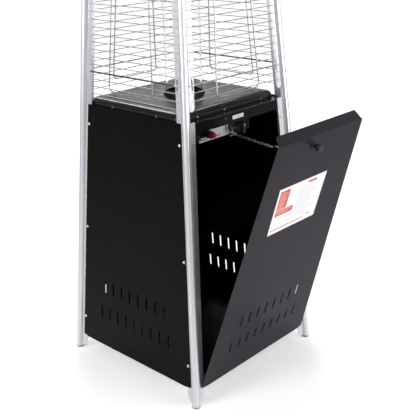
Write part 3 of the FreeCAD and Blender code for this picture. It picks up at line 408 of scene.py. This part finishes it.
def heated_steel(name, tone):
    """Brushed stainless with straw and blue heat tint in patches."""
    material, b, shader = new_finish(name, {"Metallic": 1.0})
    lines = use(b, BRUSHED_ACROSS, Fineness=700.0)
    cloud = use(b, MOTTLE, Broad_Scale=7.0, Fine_Scale=90.0)
    worn = use(b, EDGE_WEAR, Width=0.0009, Strength=4.0, Patch_Scale=20.0, Patch_Start=0.42)
    dust = use(b, SETTLED_DUST, Amount=0.3, Patch_Scale=16.0)
    straw = b.math("MULTIPLY", cloud["Broad"], 0.32)
    color = b.blend(lines["Lines"], rgb(*[c * 0.9 for c in tone]), rgb(*tone))
    color = b.blend(straw, color, rgb(0.5, 0.41, 0.3))
    color = b.blend(worn["Mask"], color, rgb(0.86, 0.86, 0.86))
    color = b.blend(dust["Mask"], color, rgb(0.36, 0.33, 0.3))
    uneven = b.math("ADD", lines["Lines"], b.math("MULTIPLY", cloud["Fine"], 0.4))
    rough = b.spread(uneven, 0.2, 1.1, 0.2, 0.42)
    feed(b, shader, color, rough, lines["Lines"], (0.2, 0.0002))
    return material


def zinc_sheet(name):
    """Galvanised sheet with its spangle, its tones darkened to nearly black as painted shade for the inside
    of the cabinet.
    """
    material, b, shader = new_finish(name, {"Metallic": 1.0})
    where = b.place()
    cells = b.node("ShaderNodeTexVoronoi", {"Vector": where, "Scale": 70.0})
    tint = b.node("ShaderNodeSeparateColor", {0: cells.outputs["Color"]}).outputs[0]
    cloud = use(b, MOTTLE, Broad_Scale=9.0, Fine_Scale=120.0)
    dust = use(b, SETTLED_DUST, Amount=0.7, Patch_Scale=14.0)
    # All three tones, the dust's too, are painted shade: darkened to nearly black so the sheet sinks into the
    # cabinet's dark inside
    color = b.blend(tint, rgb(0.045, 0.045, 0.047), rgb(0.075, 0.075, 0.078))
    color = b.blend(b.math("MULTIPLY", cloud["Broad"], 0.4), color, rgb(0.05, 0.047, 0.045))
    color = b.blend(dust["Mask"], color, rgb(0.04, 0.036, 0.032))
    rough = b.spread(b.math("ADD", tint, cloud["Fine"]), 0.0, 2.0, 0.34, 0.6)
    feed(b, shader, color, rough, tint, (0.08, 0.0001))
    return material


def printed_film(name, tone, soft):
    """Printed film or ink, a little soiled and lifted at its edges."""
    material, b, shader = new_finish(name, {"Metallic": 0.0, "Specular IOR Level": 0.35})
    cloud = use(b, MOTTLE, Broad_Scale=12.0, Fine_Scale=300.0)
    worn = use(b, EDGE_WEAR, Width=0.002, Strength=6.0, Patch_Scale=50.0, Patch_Start=0.35)
    marks = use(b, SCUFFS, Scale=50.0, Amount=0.35)
    color = b.blend(b.math("MULTIPLY", cloud["Broad"], 0.4), rgb(*tone), rgb(*soft))
    color = b.blend(b.math("MULTIPLY", worn["Mask"], 0.4), color, rgb(*[c * 0.75 for c in soft]))
    color = b.blend(marks["Mask"], color, rgb(*[c * 0.8 for c in soft]))
    rough = b.spread(cloud["Fine"], 0.0, 1.0, 0.32, 0.5)
    feed(b, shader, color, rough, cloud["Fine"], (0.06, 0.0001))
    return material


def fibre_or_rubber(name, tone, pale, scale):
    """Matt rubber or fibre with a coarse grain."""
    material, b, shader = new_finish(name, {"Metallic": 0.0, "Sheen Weight": 0.15})
    cloud = use(b, MOTTLE, Broad_Scale=30.0, Fine_Scale=scale)
    worn = use(b, EDGE_WEAR, Width=0.0008, Strength=5.0, Patch_Scale=60.0, Patch_Start=0.4)
    dust = use(b, SETTLED_DUST, Amount=0.4, Patch_Scale=60.0)
    color = b.blend(cloud["Fine"], rgb(*tone), rgb(*pale))
    color = b.blend(worn["Mask"], color, rgb(*[min(1.0, c * 1.5) for c in pale]))
    color = b.blend(dust["Mask"], color, rgb(0.3, 0.28, 0.26))
    rough = b.spread(cloud["Broad"], 0.0, 1.0, 0.6, 0.85)
    feed(b, shader, color, rough, cloud["Fine"], (0.35, 0.0002))
    return material


def clear_quartz(name):
    """Clear tube with a trace of haze. Its IOR is far below real quartz, so that it nearly disappears."""
    material, b, shader = new_finish(name, {"Metallic": 0.0, "Transmission Weight": 1.0, "IOR": 1.09})
    cloud = use(b, MOTTLE, Broad_Scale=6.0, Fine_Scale=70.0)
    grain = use(b, DRAWN_GRAIN, Fineness=160.0, Length=0.02)
    color = b.blend(b.math("MULTIPLY", cloud["Broad"], 0.5), rgb(0.99, 0.995, 0.995), rgb(0.96, 0.97, 0.965))
    rough = b.spread(b.math("MULTIPLY", cloud["Fine"], cloud["Broad"]), 0.0, 1.0, 0.0, 0.04)
    feed(b, shader, color, rough, grain["Streaks"], (0.02, 0.0001))
    return material


def perforated_deck(name):
    """Dark brushed plate, slightly worn round its holes."""
    material, b, shader = new_finish(name, {"Metallic": 1.0})
    cloud = use(b, MOTTLE, Broad_Scale=9.0, Fine_Scale=160.0)
    lines = use(b, BRUSHED_ACROSS, Fineness=500.0)
    worn = use(b, EDGE_WEAR, Width=0.0008, Strength=5.0, Patch_Scale=26.0, Patch_Start=0.35)
    dust = use(b, SETTLED_DUST, Amount=0.25, Patch_Scale=20.0)
    color = b.blend(cloud["Broad"], rgb(0.03, 0.026, 0.028), rgb(0.042, 0.037, 0.039))
    color = b.blend(b.math("MULTIPLY", cloud["Fine"], 0.2), color, rgb(0.02, 0.018, 0.016))
    color = b.blend(b.math("MULTIPLY", worn["Mask"], 0.08), color, rgb(0.4, 0.4, 0.4))
    color = b.blend(dust["Mask"], color, rgb(0.04, 0.037, 0.035))
    uneven = b.math("ADD", lines["Lines"], b.math("MULTIPLY", cloud["Fine"], 0.5))
    rough = b.spread(uneven, 0.2, 1.2, 0.32, 0.5)
    feed(b, shader, color, rough, lines["Lines"], (0.12, 0.0001))
    return material


def guard_wire(name):
    """Plated wire and side strips, one heavy rod drawn dark brown on the two guards that face along X, and
    weld marks where wires meet strips.
    """
    strip_edge, weld_line, weld_half = 0.0317, 0.0335, 0.0022       # distances from the post's axis
    heavy_z, heavy_half = 0.8607, 0.0025                            # the heavy rod's height and half width
    material, b, shader = new_finish(name, {"Metallic": 1.0})
    cloud = use(b, MOTTLE, Broad_Scale=8.0, Fine_Scale=130.0)
    worn = use(b, EDGE_WEAR, Width=0.0005, Strength=4.0, Patch_Scale=30.0, Patch_Start=0.4)
    dust = use(b, SETTLED_DUST, Amount=0.15, Patch_Scale=18.0)
    side = use(b, FROM_POST)["Distance"]
    strip = b.math("LESS_THAN", side, strip_edge)
    from_weld = b.math("ABSOLUTE", b.math("SUBTRACT", side, weld_line))
    weld = b.math("MULTIPLY", b.math("LESS_THAN", from_weld, weld_half), 0.5)
    parts = b.node("ShaderNodeSeparateXYZ", {0: b.node("ShaderNodeTexCoord").outputs["Object"]})
    level = b.math("ABSOLUTE", b.math("SUBTRACT", parts.outputs["Z"], heavy_z))
    off_x, off_y = (b.math("ABSOLUTE", parts.outputs[axis]) for axis in "XY")
    sideways = b.math("GREATER_THAN", off_x, off_y)
    bare = b.math("MULTIPLY", sideways, b.math("SUBTRACT", 1.0, strip))
    heavy = b.math("MULTIPLY", b.math("LESS_THAN", level, heavy_half), bare)
    color = b.blend(cloud["Broad"], rgb(0.6, 0.575, 0.595), rgb(0.44, 0.42, 0.435))
    color = b.blend(weld, color, rgb(0.2, 0.17, 0.14))
    # the heavy rod is drawn dark brown only on the guards that face along X, and not over the strips
    color = b.blend(heavy, color, rgb(0.13, 0.085, 0.065))
    color = b.blend(strip, color, rgb(0.88, 0.87, 0.9))
    color = b.blend(b.math("MULTIPLY", worn["Mask"], 0.2), color, rgb(0.8, 0.8, 0.79))
    color = b.blend(dust["Mask"], color, rgb(0.33, 0.3, 0.27))
    rough = b.spread(b.math("ADD", cloud["Fine"], b.math("MULTIPLY", strip, 0.3)), 0.0, 1.3, 0.24, 0.44)
    feed(b, shader, color, rough, cloud["Fine"], (0.1, 0.0001))
    return material


FINISHES = {
    "satin_aluminium": drawn_aluminium("satin_aluminium", (0.97, 0.955, 0.99), 0.26, 0.38),
    "foot_steel": plated_metal("foot_steel", (0.58, 0.58, 0.58), 0.28, 0.42),
    "black_rubber": fibre_or_rubber("black_rubber", (0.012, 0.012, 0.012), (0.03, 0.03, 0.03), 260.0),
    "black_plastic": moulded_plastic("black_plastic", (0.012, 0.012, 0.013), 0.26, 0.42),
    "dark_paint": sprayed_steel("dark_paint", (0.0036, 0.0026, 0.002), (0.0052, 0.004, 0.0034), 0.24, 0.36,
                                gloss=0.1),
    "plated_screw": plated_metal("plated_screw", (0.8, 0.8, 0.8), 0.14, 0.28),
    "galvanised": zinc_sheet("galvanised"),
    "label_film": printed_film("label_film", (0.93, 0.93, 0.93), (0.88, 0.88, 0.87)),
    "deck_enamel": sprayed_steel("deck_enamel", (0.005, 0.005, 0.006), (0.007, 0.007, 0.008), 0.14, 0.22,
                                 gloss=0.24, coat=0.08, dusty=0.06, peel=0.08),
    "perforated_steel": perforated_deck("perforated_steel"),
    "black_enamel": sprayed_steel("black_enamel", (0.007, 0.007, 0.007), (0.012, 0.011, 0.011), 0.34, 0.5),
    "gasket": fibre_or_rubber("gasket", (0.02, 0.019, 0.018), (0.045, 0.042, 0.04), 420.0),
    "quartz": clear_quartz("quartz"),
    "stainless": heated_steel("stainless", (0.62, 0.61, 0.6)),
    "brass": plated_metal("brass", (0.72, 0.52, 0.24), 0.2, 0.36),
    "cast_alloy": plated_metal("cast_alloy", (0.5, 0.46, 0.38), 0.38, 0.55),
    "red_plastic": moulded_plastic("red_plastic", (0.55, 0.012, 0.01), 0.2, 0.34),
    "switch_plastic": moulded_plastic("switch_plastic", (0.03, 0.03, 0.032), 0.4, 0.55),
    "copper_pipe": plated_metal("copper_pipe", (0.74, 0.38, 0.22), 0.22, 0.38),
    "lead_rubber": fibre_or_rubber("lead_rubber", (0.5, 0.48, 0.44), (0.6, 0.58, 0.54), 300.0),
    "chain_steel": plated_metal("chain_steel", (0.55, 0.54, 0.52), 0.24, 0.4),
    "guard_wire": guard_wire("guard_wire"),
}
# The door takes a lighter copy of the panels' dark paint; the extra lightness is painted light for the door's
# face turned to the front lamp
LIT_DOOR_PAINT = sprayed_steel("door_paint_painted_light", (0.022, 0.0185, 0.0235), (0.027, 0.023, 0.0285), 0.3, 0.42)
OWN_FINISH = {
    "door_panel": LIT_DOOR_PAINT,
    "deck_screws": plated_metal("dull_screw", (0.2, 0.2, 0.21), 0.3, 0.45),
    "burner_cup": plated_metal("sooted_cup", (0.03, 0.027, 0.025), 0.5, 0.7),
    "burner_head": plated_metal("sooted_head", (0.045, 0.04, 0.037), 0.45, 0.65),
}
RED_INK = printed_film("red_ink", (0.72, 0.07, 0.045), (0.78, 0.12, 0.09))
GREY_INK = printed_film("grey_ink", (0.62, 0.62, 0.63), (0.54, 0.54, 0.55))
DARK_INK = printed_film("dark_ink", (0.03, 0.03, 0.03), (0.06, 0.06, 0.06))
PALE_INK = printed_film("pale_ink", (0.86, 0.86, 0.86), (0.78, 0.78, 0.78))


def dress_frame():
    """Gives every node of the frame the finish of its slot."""
    for entry in frame["record"]["subparts"]:
        node = frame["nodes"][entry["node"]]
        finish = OWN_FINISH.get(entry["node"], FINISHES[entry["material_slot"]])
        if not node.data.materials:
            node.data.materials.append(finish)
        for index in range(len(node.data.materials)):
            node.data.materials[index] = finish


# ---- mesh helpers --------------------------------------------------------------------------------
def half(z):
    """How far a face stands from the middle at height z, in mm."""
    return FOOT_HALF - LEAN * z


def door_point(u, z, off):
    """A point of the open door from its place on the closed one: sideways, height, distance out."""
    closed = Vector((u, -half(z), z)) + NORMAL * off
    return (Matrix.Rotation(DOOR_OPEN, 4, "X") @ (closed - HINGE) + HINGE) * MM


def piece(name, mesh, body, finish):
    thing = bpy.data.objects.new(name, mesh)
    bpy.context.scene.collection.objects.link(thing)
    mesh.materials.append(finish)
    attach(thing, body)
    return thing


def mesh_from(name, work):
    bmesh.ops.recalc_face_normals(work, faces=work.faces)
    mesh = bpy.data.meshes.new(name)
    work.to_mesh(mesh)
    work.free()
    return mesh


def slab(work, outline, lift):
    """A thin closed slab from an outline of points, raised by lift."""
    low = [work.verts.new(point) for point in outline]
    high = [work.verts.new(point + lift) for point in outline]
    work.faces.new(low[::-1])
    work.faces.new(high)
    count = len(outline)
    for i in range(count):
        j = (i + 1) % count
        work.faces.new((low[i], low[j], high[j], high[i]))


def rounded_outline(x0, x1, y0, y1, radius, steps=4):
    points = []
    for cx, cy, start in ((x1 - radius, y1 - radius, 0), (x0 + radius, y1 - radius, 90),
                          (x0 + radius, y0 + radius, 180), (x1 - radius, y0 + radius, 270)):
        for step in range(steps + 1):
            angle = math.radians(start + 90.0 * step / steps)
            points.append((cx + radius * math.cos(angle), cy + radius * math.sin(angle)))
    return points


# ---- deck plate ----------------------------------------------------------------------------------
def perforated_plate():
    """The grille plate under the guards: a fine field of round holes inside a plain rolled border."""
    low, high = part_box("deck_plate")
    reach = (high.x - low.x) / 2
    middle_x, middle_y = (low.x + high.x) / 2, (low.y + high.y) / 2
    pitch, hole, count, core = 0.005, 0.00165, 60, 24
    field = pitch * count / 2
    inner = pitch * core / 2
    work = bmesh.new()
    top, bottom = high.z, low.z
    made = {}

    def vert(x, y, z):
        key = (round(x, 6), round(y, 6), z)
        if key not in made:
            made[key] = work.verts.new((middle_x + x, middle_y + y, z))
        return made[key]

    def both(points):
        work.faces.new([vert(x, y, top) for x, y in points])
        work.faces.new([vert(x, y, bottom) for x, y in reversed(points)])

    def wall(points):
        for (xa, ya), (xb, yb) in zip(points, points[1:] + points[:1]):
            work.faces.new((vert(xa, ya, top), vert(xb, yb, top),
                            vert(xb, yb, bottom), vert(xa, ya, bottom)))

    def around(far):
        """Points round a square, half a pitch apart."""
        points = []
        for side in range(4):
            for step in range(round(4 * far / pitch)):
                along = -far + pitch / 2 * step
                points.append(((far, along), (-along, far), (-far, -along), (along, -far))[side])
        return points

    for row in range(count):
        for column in range(count):
            cx = -field + pitch * (column + 0.5)
            cy = -field + pitch * (row + 0.5)
            if max(abs(cx), abs(cy)) < inner:
                continue
            ring, frame_ring = [], []
            for step in range(8):
                angle = math.pi / 4 * step
                ring.append((cx + hole * math.cos(angle), cy + hole * math.sin(angle)))
                sx = (1, 1, 0, -1, -1, -1, 0, 1)[step]
                sy = (0, 1, 1, 1, 0, -1, -1, -1)[step]
                frame_ring.append((cx + sx * pitch / 2, cy + sy * pitch / 2))
            for step in range(8):
                after = (step + 1) % 8
                both([ring[step], frame_ring[step], frame_ring[after], ring[after]])
            wall(ring)

    bore = 0.048
    square = around(inner)
    circle = []
    for x, y in square:
        length = math.hypot(x, y)
        circle.append((x / length * bore, y / length * bore))
    for i in range(len(square)):
        j = (i + 1) % len(square)
        both([circle[i], square[i], square[j], circle[j]])
    wall(circle)

    rim = around(field)
    bead, drop = 0.0004, 0.0002
    profile = ((0.0, top), (0.25, top), (0.45, top + bead), (0.8, top + bead),
               (1.0, top - drop), (1.0, bottom))
    rings = []
    for share, z in profile:
        grow = 1 + share * (reach - field) / field
        rings.append([vert(x * grow, y * grow, z) for x, y in rim])
    rings.append([vert(x, y, bottom) for x, y in rim])
    for first, second in zip(rings, rings[1:]):
        for i in range(len(rim)):
            j = (i + 1) % len(rim)
            if len({first[i], first[j], second[j], second[i]}) == 4:
                work.faces.new((first[i], first[j], second[j], second[i]))
    plate = piece("perforated_deck_plate", mesh_from("perforated_deck_plate", work), "cabinet",
                  FINISHES["perforated_steel"])
    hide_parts("deck_plate")


# ---- printed labels ------------------------------------------------------------------------------
LABEL = (-118.0, 656.0, 196.0, 137.0)      # left, top, width and height on the closed door
LABEL_FACE = 3.25


def label_block(work, across, down, lift=0.06):
    """A printed block on the door label, its place given as shares of the label."""
    left, top, width, height = LABEL
    x0, x1 = (left + width * share for share in across)
    z1, z0 = (top - height * share for share in down)
    outline = [door_point(u, z, LABEL_FACE + 0.01) for u, z in ((x0, z0), (x1, z0), (x1, z1), (x0, z1))]
    raised = door_point(x0, z0, LABEL_FACE + 0.01 + lift) - outline[0]
    slab(work, outline, raised)


def door_label_print():
    red = bmesh.new()
    label_block(red, (0.04, 0.235), (0.06, 0.47))
    label_block(red, (0.04, 0.40), (0.485, 0.60))
    label_block(red, (0.62, 0.80), (0.06, 0.105))
    label_block(red, (0.04, 0.73), (0.905, 0.925))
    piece("label_red_blocks", mesh_from("label_red_blocks", red), "door", RED_INK)
    pale = bmesh.new()
    for row in range(11):
        start = 0.1 + row * 0.034
        label_block(pale, (0.06, 0.17 + 0.045 * ((row * 5) % 3) / 2), (start, start + 0.009), 0.1)
    for row in range(2):
        start = 0.515 + row * 0.036
        label_block(pale, (0.06, 0.36 - 0.05 * row), (start, start + 0.009), 0.1)
    piece("label_pale_lines", mesh_from("label_pale_lines", pale), "door", PALE_INK)
    grey = bmesh.new()
    for row in range(15):
        start = 0.15 + row * 0.046
        reach = 0.9 - 0.06 * ((row * 7) % 4)
        label_block(grey, (0.46 if row < 11 else 0.3, reach), (start, start + 0.008))
    label_block(grey, (0.79, 0.87), (0.85, 0.9))
    piece("label_grey_lines", mesh_from("label_grey_lines", grey), "door", GREY_INK)


def lip_point(u, z, off):
    return (Vector((u, -half(z), z)) + NORMAL * off) * MM


def lip_label():
    """A small blank plate label on the lip under the deck, with two plain bars."""
    film = bmesh.new()
    outline = [lip_point(u, z, -2.75) for u, z in rounded_outline(-22.0, 22.0, 746.5, 756.5, 1.2)]
    slab(film, outline, NORMAL * 0.2 * MM)
    piece("lip_label", mesh_from("lip_label", film), "cabinet", FINISHES["label_film"])
    bars = bmesh.new()
    for x0, x1, z0, z1 in ((-8.0, 14.0, 750.4, 751.6), (-5.0, 11.0, 752.8, 753.6)):
        slab(bars, [lip_point(u, z, -2.54) for u, z in ((x0, z0), (x1, z0), (x1, z1), (x0, z1))],
             NORMAL * 0.06 * MM)
    piece("lip_label_bars", mesh_from("lip_label_bars", bars), "cabinet", GREY_INK)


def control_print():
    """Plain marks on the control sticker: arcs for the knob's travel, wedges and a dot by the igniter."""
    low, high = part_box("control_sticker")
    face = low.y - 0.00001
    lift = Vector((0, -0.00008, 0))
    marks = bmesh.new()
    knob = Vector((0.038, face, 0.709))
    igniter = Vector((-0.0795, face, 0.7135))

    def arc(centre, r0, r1, start, end, steps=14):
        inner, outer = [], []
        for step in range(steps + 1):
            angle = math.radians(start + (end - start) * step / steps)
            spoke = Vector((math.cos(angle), 0, math.sin(angle)))
            inner.append(centre + spoke * r0)
            outer.append(centre + spoke * r1)
        slab(marks, outer + inner[::-1], lift)

    arc(igniter, 0.0148, 0.0215, 118, 250)
    arc(knob, 0.0245, 0.027, 118, 205)
    for centre, size in ((Vector((-0.0405, face, 0.7335)), 0.0075), (Vector((-0.012, face, 0.7255)), 0.004)):
        slab(marks, [centre + Vector((math.cos(a), 0, math.sin(a))) * size
                     for a in (math.radians(90), math.radians(210), math.radians(330))], lift)
    for x0, x1, z0, z1 in ((-0.058, -0.048, 0.7365, 0.7395), (-0.031, -0.018, 0.735, 0.7378),
                           (-0.05, -0.01, 0.6935, 0.6955), (-0.085, -0.06, 0.6915, 0.6935)):
        slab(marks, [Vector((x, face, z)) for x, z in ((x0, z0), (x1, z0), (x1, z1), (x0, z1))], lift)
    piece("control_sticker_marks", mesh_from("control_sticker_marks", marks), "cabinet",
          DARK_INK)


def knob_pointer():
    """The pale line let into the knob's grip."""
    low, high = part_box("control_knob")
    work = bmesh.new()
    x = (low.x + high.x) / 2
    top = high.z - 0.004
    points = [Vector((x + u * MM, low.y - 0.00002, top + w * MM))
              for u, w in rounded_outline(-0.9, 0.9, -9.0, 0.0, 0.8)]
    slab(work, points, Vector((0, 0.0003, 0)))
    piece("knob_pointer", mesh_from("knob_pointer", work), "knob", PALE_INK)


# ---- put together --------------------------------------------------------------------------------
def lay_floor():
    """A pale floor that glows for the camera and darkens with distance for all other light."""
    corners = [(x * FLOOR_HALF, y * FLOOR_HALF, 0) for x, y in ((-1, -1), (1, -1), (1, 1), (-1, 1))]
    mesh = bpy.data.meshes.new("floor")
    mesh.from_pydata(corners, [], [(0, 1, 2, 3)])
    floor = bpy.data.objects.new("floor", mesh)
    floor.location.z = -FLOOR_DROP
    bpy.context.scene.collection.objects.link(floor)
    material, b, shader = new_finish("pale_floor", {"Roughness": 0.7, "Specular IOR Level": 0.1,
                                                    "Emission Color": rgb(1, 1, 1)})
    where = b.node("ShaderNodeTexCoord").outputs["Object"]
    away = b.node("ShaderNodeVectorMath", {0: where}, operation="LENGTH").outputs["Value"]
    cloud = use(b, MOTTLE, Broad_Scale=1.5, Fine_Scale=30.0)
    near = b.blend(cloud["Broad"], rgb(0.9, 0.9, 0.9), rgb(0.92, 0.92, 0.92))
    feed(b, shader, b.blend(b.spread(away, *FLOOR_FADE, 0.0, 1.0), near, rgb(0.42, 0.42, 0.43)))
    glow = b.math("MULTIPLY", seen_plainly(b), b.spread(away, *FLOOR_FADE, 0.42, 0.86))
    b.tree.links.new(glow, shader.inputs["Emission Strength"])
    mesh.materials.append(material)


place_camera()
light_room()
lay_floor()
dress_frame()
perforated_plate()
door_label_print()
lip_label()
control_print()
knob_pointer()
